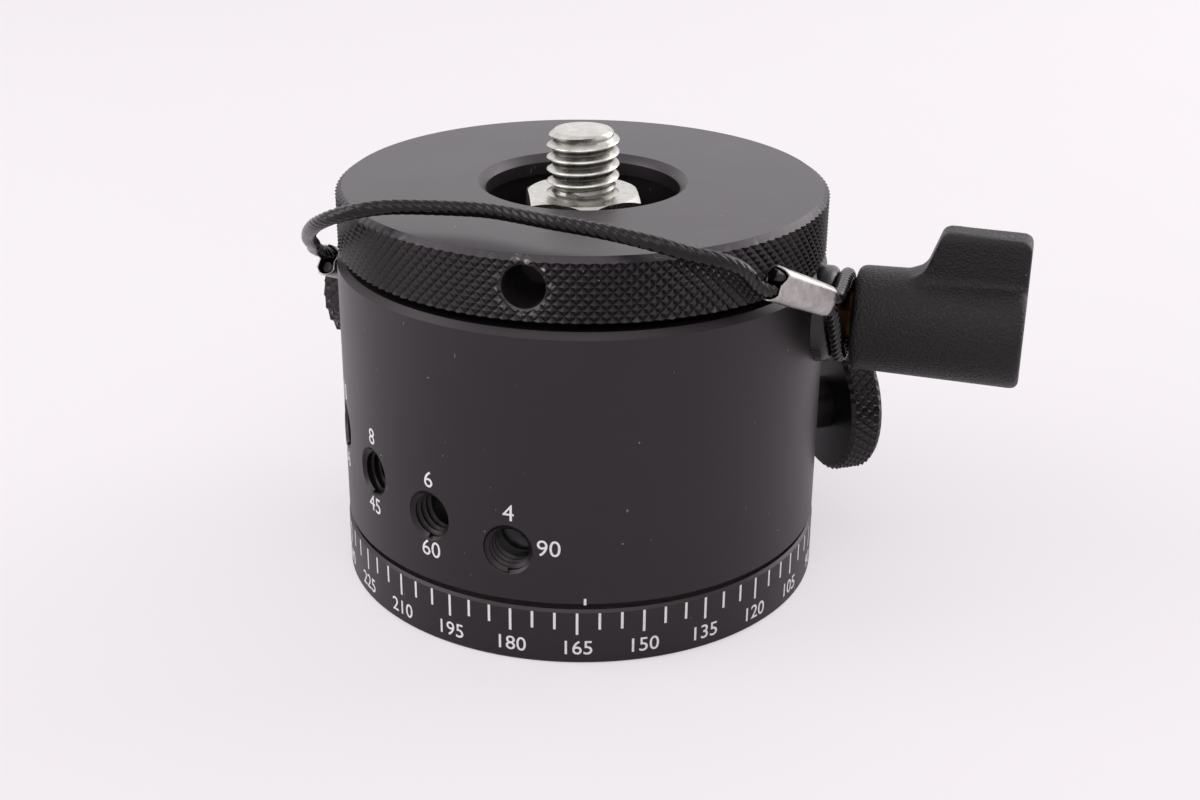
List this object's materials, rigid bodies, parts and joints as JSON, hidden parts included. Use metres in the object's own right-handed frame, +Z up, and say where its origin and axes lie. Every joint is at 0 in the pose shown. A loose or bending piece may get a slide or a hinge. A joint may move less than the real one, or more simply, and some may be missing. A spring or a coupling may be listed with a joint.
{
  "type": "panoramic tripod head",
  "caption": "Round indexed panning base with a degree scale, knurled locking collar, threaded camera stud, wing lock knob, drag knob and tethered spring plunger.",
  "frame": {"origin": "middle of the tripod socket's mouth, in the plane of the base's underside", "axes": "+Z up the pan axis towards the camera stud; -Y towards the front, where the index mark is"},
  "size_m": [0.0964, 0.0731, 0.0604],
  "materials": {
    "black_anodised": "satin black anodised",
    "black_anodised_knurled": "black anodised over turned and knurled faces",
    "bare_aluminium": "turned",
    "steel": "turned",
    "zinc_steel": "bright zinc plated",
    "bronze": "turned",
    "brass": "turned",
    "acetal": "natural acetal",
    "black_plastic": "smooth black",
    "grained_plastic": "grained black nylon",
    "rope_coating": "black coating drawn tight over a twisted wire rope",
    "crimped_aluminium": "crimped"
  },
  "bodies": {
    "base": {"base_plate": "black_anodised", "tripod_bush": "steel", "spindle": "steel", "index_drum": "bare_aluminium", "drum_screws": "steel", "wave_washer": "steel", "spindle_washer": "steel", "spindle_nut": "steel", "thrust_ring": "acetal"},
    "housing": {"housing": "black_anodised", "bronze_bush": "bronze", "stud_plug": "black_anodised", "camera_stud": "zinc_steel", "stud_washer": "zinc_steel", "stud_nut": "zinc_steel", "lock_bush": "black_plastic", "lock_eye": "rope_coating", "lock_sleeve": "crimped_aluminium", "tether_rope": "rope_coating"},
    "collar": {"collar": "black_anodised_knurled"},
    "lock_slider": {"lock_pad": "acetal"},
    "lock_knob": {"lock_screw": "brass", "wing_knob": "grained_plastic"},
    "drag_slider": {"drag_pad": "acetal"},
    "drag_knob": {"drag_screw": "steel", "drag_knob": "black_anodised_knurled"},
    "plunger_slider": {"plunger_eye": "rope_coating", "plunger_sleeve": "crimped_aluminium"},
    "plunger": {"plunger_barrel": "steel", "plunger_knob": "black_anodised_knurled"},
    "index_pin": {"index_pin": "steel", "plunger_spring": "steel"}
  },
  "joints": [
    {"name": "pan", "type": "hinge", "parent": "base", "child": "housing", "pos_m": [0, 0, 0.0083], "axis": [0, 0, 1], "continuous": true},
    {"name": "collar_turn", "type": "hinge", "parent": "housing", "child": "collar", "pos_m": [0, 0, 0.0495], "axis": [0, 0, 1], "range_deg": [-216, 720]},
    {"name": "lock_travel", "type": "slide", "parent": "housing", "child": "lock_slider", "axis": [0.9636, -0.2672, 0], "range_m": [0, 0.00188]},
    {"name": "lock_turn", "type": "hinge", "parent": "lock_slider", "child": "lock_knob", "pos_m": [0.03855, -0.01069, 0.0385], "axis": [0.9636, -0.2672, 0], "range_deg": [0, 540]},
    {"name": "drag_travel", "type": "slide", "parent": "housing", "child": "drag_slider", "axis": [0.9511, 0.309, 0], "range_m": [0, 0.002]},
    {"name": "drag_turn", "type": "hinge", "parent": "drag_slider", "child": "drag_knob", "pos_m": [0.03614, 0.01174, 0.0172], "axis": [0.9511, 0.309, 0], "range_deg": [0, 720]},
    {"name": "plunger_travel", "type": "slide", "parent": "housing", "child": "plunger_slider", "axis": [-0.6921, 0.7218, 0], "range_m": [0, 0.006], "deforming": ["tether_rope"]},
    {"name": "plunger_turn", "type": "hinge", "parent": "plunger_slider", "child": "plunger", "pos_m": [-0.02492, 0.02598, 0.0281], "axis": [-0.6921, 0.7218, 0], "range_deg": [0, 2160]},
    {"name": "pin_press", "type": "slide", "parent": "plunger", "child": "index_pin", "axis": [-0.6921, 0.7218, 0], "range_m": [0, 0.0008], "stiffness_N_per_m": 600, "springref_m": -0.001, "deforming": ["plunger_spring"]}
  ],
  "couplings": [
    {"joint": "lock_travel", "follows": "lock_turn", "m_per_rad": 0.00019894},
    {"joint": "drag_travel", "follows": "drag_turn", "m_per_rad": 0.00015915},
    {"joint": "plunger_travel", "follows": "plunger_turn", "m_per_rad": 0.00015915}
  ]
}
